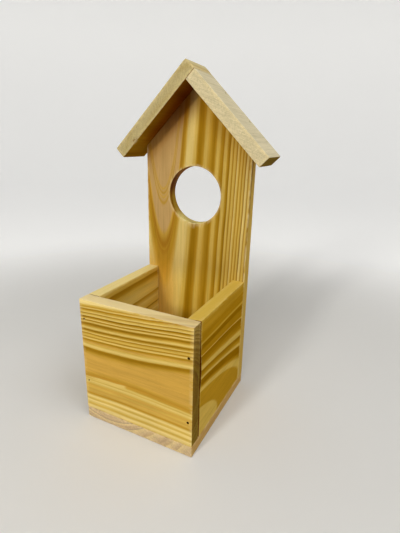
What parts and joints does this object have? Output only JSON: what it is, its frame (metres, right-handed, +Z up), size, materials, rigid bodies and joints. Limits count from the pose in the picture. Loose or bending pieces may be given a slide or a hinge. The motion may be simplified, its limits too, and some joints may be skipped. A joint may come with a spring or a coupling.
{
  "type": "birdhouse planter box",
  "caption": "Open-topped pine planter box shaped like a birdhouse: a nailed box, a tall gabled back board with a round entrance hole, and a narrow two-board roof.",
  "frame": {"origin": "middle of the base board's underside, on the surface that the box stands on", "axes": "+X to the right seen from the front, +Y towards the back board, +Z up"},
  "size_m": [0.1926, 0.152, 0.4003],
  "materials": {
    "front_pine": "sanded bare pine, honey yellow",
    "side_pine": "sanded bare pine, honey yellow",
    "back_pine": "sanded bare pine, honey yellow",
    "base_pine": "sanded bare pine with open end grain",
    "roof_pine": "pale bare pine",
    "brad_steel": "dull steel wire brads"
  },
  "bodies": {
    "root": {"base_board": "base_pine", "front_panel": "front_pine", "left_side_panel": "side_pine", "right_side_panel": "side_pine", "back_board": "back_pine", "left_roof_board": "roof_pine", "right_roof_board": "roof_pine", "front_brads": "brad_steel", "back_brads": "brad_steel", "base_brads": "brad_steel", "left_roof_brads": "brad_steel", "right_roof_brads": "brad_steel", "ridge_brads": "brad_steel"}
  },
  "joints": []
}
